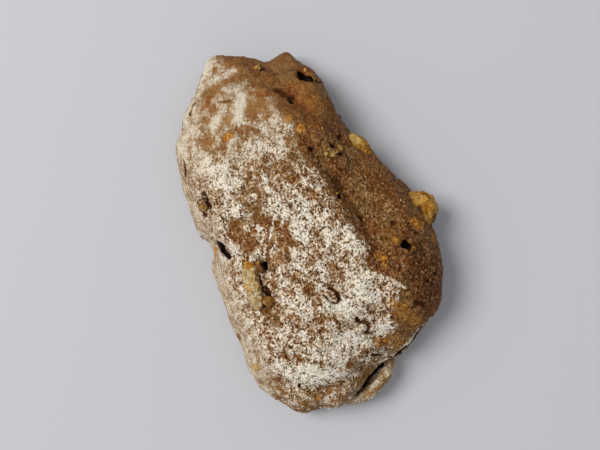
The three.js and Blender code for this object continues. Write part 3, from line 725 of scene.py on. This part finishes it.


# ---- Walnuts ---------------------------------------------------------------------------

# How much flour each piece has all over, and its patches: layer, centre, half width, amount.
# A dark patch is painted shade, where the nut sinks under the crust.
WALNUTS = {
    "walnut_rim_large": (0.0, [
        ("skin", (-14.0, -42.0, 26), 3.2, 0.9), ("skin", (-19.5, -49.0, 17), 4.6, 0.9),
        ("pale", (-7.0, -44.5, 26), 2.4, 0.5)]),
    "walnut_rim_slab": (0.0, [
        ("pale", (27.5, -28.2, 26), 3.4, 0.95), ("pale", (23.5, -30, 27), 2.2, 0.5),
        ("skin", (18.5, -33, 21), 3.0, 0.9), ("skin", (22, -28, 25), 1.4, 0.4)]),
    "walnut_floured": (0.5, [
        ("flour", (-20, 38.6, 41), 4.0, 0.7), ("flour", (-12.5, 38.2, 40.5), 3.6, 0.6),
        ("flour", (-23.4, 37.0, 42), 3.2, 0.7), ("flour", (-12, 36.6, 42), 3.0, 0.3),
        ("skin", (-13.5, 32.6, 42), 2.2, 0.5), ("skin", (-20.0, 33.0, 43), 2.6, 0.6),
        ("pale", (-12.5, 35, 43), 5.0, 0.3),
        ("pale", (-20.5, 36, 43), 4.6, 0.5), ("tip", (-6.6, 33.6, 41), 2.6, 1.0)]),
    "walnut_waist": (0.0, [
        ("skin", (-11.6, 29.6, 40), 3.8, 0.75), ("pale", (-8.3, 29.4, 41), 1.4, 1.0),
        ("dark", (-10.6, 26.8, 40), 2.9, 1.0)]),
    "walnut_lower": (0.04, [
        ("skin", (-25.0, 31, 42), 3.2, 0.44), ("pale", (-25.4, 32.8, 43), 1.2, 0.4),
        ("dark", (-27.8, 30.4, 42), 1.2, 0.8), ("flour", (-24.4, 33.8, 43), 1.4, 0.4)]),
    "walnut_left": (0.38, [
        ("skin", (24.5, 41.2, 34), 2.6, 0.9), ("skin", (22.4, 43.2, 34), 3.4, 0.42),
        ("dark", (26.4, 41.0, 34), 1.5, 0.7), ("dark", (20.2, 44.2, 33), 1.6, 0.8),
        ("pale", (22.6, 43.0, 35), 1.4, 0.4)]),
}


def make_walnut(node, looks, material):
    """One piece of walnut: lobed, with fibrous grooves and torn skin."""
    dusting, patches = looks
    nut = copy_of_node(node, node + "_kernel")
    apply_modifier(nut, "SUBSURF", levels=1, render_levels=1)
    apply_modifier(nut, "REMESH", mode="VOXEL", voxel_size=NUT_VOXEL * MM)
    apply_modifier(nut, "SMOOTH", factor=0.5, iterations=NUT_SMOOTHING)
    places, normals = vertices_of(nut)
    relief = 0.5 * bumps(places, 4.2, 31) + 0.5 * bumps(places, 2.1, 32)
    relief += 0.35 * (1 - 2 * np.abs(bumps(places, 1.8, 33))) - 0.1 + 0.28 * bumps(places, 0.9, 37)
    relief += NUT_SWELL
    places = places + normals * relief[:, None]
    ragged = 1.1 * bumps(places, 2.6, 34) + 0.6 * bumps(places, 1.1, 35)
    up = fade(normals[:, 2], -0.2, 0.5)
    layers = {name: np.zeros(len(places)) for name in ("skin", "pale", "flour", "tip", "dark")}
    layers["flour"] += dusting * up + 0.3 * dusting * bumps(places, 3, 36)
    for layer, centre, half, amount in patches:
        away = np.linalg.norm(places - np.array(centre), axis=1) + ragged
        layers[layer] += amount * (1 - fade(away, half * 0.6, half * 1.25))
    clean_tip = layers.pop("tip")
    layers["flour"] *= 1 - clean_tip
    layers["pale"] *= 1 - clean_tip
    # what is dark lies a millimetre deeper, in the shade of the crust
    place_vertices(nut, places - normals * layers["dark"][:, None])
    for layer, values in layers.items():
        paint(nut, layer, values)
    shade_smooth(nut)
    finish_piece(nut, "walnut", material, node)
    return nut


# ---- Grains, crumbs and chips ----------------------------------------------------------

# Chips and crumbs that are baked fast: place from above, width, flatness and paleness.
WALNUT_CHIPS = [
    (70.1, -1.3, 2.3, 0.7, 0.6), (-50.6, 47.6, 3.4, 0.7, 1.0), (61.6, -20.2, 2.0, 0.8, 0.3),
    (26.4, -14.4, 1.5, 0.4, 0.4), (23.5, -14.3, 2.0, 0.35, 0.7), (22.0, -16.5, 2.4, 0.35, 0.6),
    (24.0, -21.0, 2.2, 0.35, 0.3), (34.0, -16.6, 1.8, 0.35, 0.4), (6.2, -12.0, 1.6, 0.5, 0.6),
    (-8.6, -18.8, 1.7, 0.6, 0.3), (-21.4, -27.8, 2.4, 0.4, 0.1), (-6.6, -36.6, 1.1, 0.6, 1.0),
    (-8.0, -37.4, 1.0, 0.6, 1.0), (-26.0, -41.5, 0.8, 0.7, 1.0), (24.8, -16.0, 1.3, 0.5, 0.5),
    (-8.1, 30.4, 1.5, 0.7, 0.4),
]
CRUST_CRUMBS = [
    (55.6, -24.0, 2.0, 0.7, 0), (46.0, -25.0, 2.2, 0.7, 0), (38.0, -28.6, 2.2, 0.7, 0),
    (-36.0, 50.6, 3.2, 0.6, 0), (11.0, 50.2, 2.4, 0.6, 0), (-66.5, 44.5, 3.0, 0.7, 0),
    (30.0, -22.0, 1.6, 0.7, 0), (-33.0, -45.0, 2.0, 0.7, 0), (64.0, -14.0, 1.6, 0.6, 0),
]


def lump_shape(detail):
    """Vertices and faces of a unit ball to make lumps from."""
    bpy.ops.object.select_all(action="DESELECT")
    bpy.ops.mesh.primitive_ico_sphere_add(subdivisions=detail, radius=1)
    ball = bpy.context.object
    corners = np.array([v.co for v in ball.data.vertices])
    faces = np.array([list(p.vertices) for p in ball.data.polygons])
    bpy.data.objects.remove(ball)
    return corners, faces


def joined_lumps(name, detail, spots, lumpiness):
    """One mesh of many lumps. A spot is a place, a normal, a half width, a flatness and a turn."""
    corners, faces = lump_shape(detail)
    narrowness = 0.8
    all_corners, all_faces = [], []
    for number, (place, normal, half, flat, turn) in enumerate(spots):
        out = np.array(normal)
        side = np.cross(out, [math.cos(turn), math.sin(turn), 0.31])
        side /= np.linalg.norm(side)
        other = np.cross(out, side)
        uneven = 1 + lumpiness * bumps(corners + number * 1.7, 0.9, 41)
        shape = corners * uneven[:, None]
        local = (shape[:, :1] * side + shape[:, 1:2] * other * narrowness
                 + shape[:, 2:] * out * flat)
        all_faces.append(faces + number * len(corners))
        all_corners.append(np.array(place) + local * half)
    mesh = bpy.data.meshes.new(name)
    mesh.from_pydata((np.concatenate(all_corners) * MM).tolist(), [],
                     np.concatenate(all_faces).tolist())
    piece = bpy.data.objects.new(name, mesh)
    bpy.context.scene.collection.objects.link(piece)
    places, _ = vertices_of(piece)
    place_vertices(piece, places)
    return piece


def on_crust(surface, x, y):
    """The place and normal of the crust under a point seen from above."""
    hit, normal, _, _ = surface.ray_cast(Vector((x, y, 80)) * MM, Vector((0, 0, -1)))
    if hit is None:
        hit, normal, _, _ = surface.find_nearest(Vector((x, y, RIM_HEIGHT)) * MM)
    return np.array(hit) / MM, np.array(normal)


def make_chips(name, chips, surface, material, slot):
    """Small chips that are baked fast to the crust."""
    spots = []
    for number, (x, y, width, flat, _) in enumerate(chips):
        place, normal = on_crust(surface, x, y)
        spots.append((place + normal * width * 0.02, normal, width / 2, flat, number * 2.4))
    piece = joined_lumps(name, 3, spots, 0.8)
    each = len(piece.data.vertices) // len(chips)
    pale = np.repeat([chip[4] for chip in chips], each)
    for layer, amounts in (("skin", 0.3 - 0.3 * pale), ("pale", pale), ("flour", pale * 0.2),
                           ("dark", 0 * pale)):
        paint(piece, layer, amounts)
    shade_smooth(piece)
    finish_piece(piece, slot, material)
    return piece


def make_flour_grains(loaf, material):
    """Caked grains of flour, a third to one millimetre, on the thickest of the dusting."""
    draw = np.random.default_rng(SEED)
    places, normals = vertices_of(loaf)
    flour = np.zeros(len(places))
    loaf.data.attributes["flour"].data.foreach_get("value", flour)
    weight = np.clip(flour - 0.35, 0, 0.5) * fade(normals[:, 2], 0.0, 0.5)
    chosen = draw.choice(len(places), FLOUR_GRAINS, replace=False, p=weight / weight.sum())
    spots = []
    for index in chosen:
        half = 0.16 + 0.34 * draw.random() ** 2.5
        spots.append((places[index] + normals[index] * half * 0.1, normals[index], half,
                      0.35 + 0.3 * draw.random(), draw.random() * math.tau))
    piece = joined_lumps("flour_grains", 1, spots, 0.5)
    shade_smooth(piece)
    finish_piece(piece, "crust", material)
    return piece


# ---- Floor, light and camera -----------------------------------------------------------

CAMERA_HEIGHT = 480             # straight above the loaf, looking down
CAMERA_PLACE = (-0.3, 7.3)
CAMERA_TURN = -112              # degrees, so that the pointed end is at the upper left
CAMERA_LENS, CAMERA_SENSOR = 62.4, 36
LIGHT_FROM = (0.64, 0.77)       # the photograph's left, seen from above
LIGHT_AWAY, LIGHT_HEIGHT, LIGHT_WIDTH = 1520, 2350, 1450
LIGHT_POWER = 60.0              # watts
ROOM_LIGHT = 0.42               # strength of the soft light from all round
FLOOR_WIDTH = 6000


def make_floor():
    bpy.ops.object.select_all(action="DESELECT")
    bpy.ops.mesh.primitive_plane_add(size=FLOOR_WIDTH * MM, location=(0, 0, 0))
    floor = bpy.context.object
    floor.name = "floor"
    floor.data.materials.append(make_floor_material())


def make_light(name, place, size, power, colour):
    """A large soft lamp that looks at the loaf."""
    lamp = bpy.data.lights.new(name, "AREA")
    lamp.shape, lamp.size, lamp.energy, lamp.color = "DISK", size, power, colour
    holder = bpy.data.objects.new(name, lamp)
    bpy.context.scene.collection.objects.link(holder)
    holder.location = place
    holder.rotation_euler = (-Vector(place)).to_track_quat("-Z", "Y").to_euler()


def make_stage():
    make_floor()
    across = [part * LIGHT_AWAY * MM for part in LIGHT_FROM]
    make_light("window", (*across, LIGHT_HEIGHT * MM), LIGHT_WIDTH * MM, LIGHT_POWER,
               (1.0, 0.99, 0.97))
    world = bpy.data.worlds.new("soft room light")
    world.use_nodes = True
    sky = world.node_tree.nodes["Background"]
    sky.inputs["Color"].default_value = (0.95, 0.97, 1.0, 1)
    sky.inputs["Strength"].default_value = ROOM_LIGHT
    scene = bpy.context.scene
    scene.world = world
    scene.view_settings.view_transform = "Standard"
    camera = bpy.data.cameras.new("camera")
    camera.lens, camera.sensor_width = CAMERA_LENS, CAMERA_SENSOR
    holder = bpy.data.objects.new("camera", camera)
    scene.collection.objects.link(holder)
    holder.location = (CAMERA_PLACE[0] * MM, CAMERA_PLACE[1] * MM, CAMERA_HEIGHT * MM)
    holder.rotation_euler = (0, 0, math.radians(CAMERA_TURN))
    scene.camera = holder


# ---- Everything together ---------------------------------------------------------------

walnut = make_walnut_material()
crumb = make_crumb_material()
loaf = make_loaf(make_crust_material())
surface = BVHTree.FromObject(loaf, bpy.context.evaluated_depsgraph_get())
for node, looks in WALNUTS.items():
    make_walnut(node, looks, walnut)
make_chips("walnut_chips", WALNUT_CHIPS, surface, walnut, "walnut")
make_chips("crust_crumbs", CRUST_CRUMBS, surface, crumb, "crust")
make_flour_grains(loaf, make_flour_material())
make_stage()
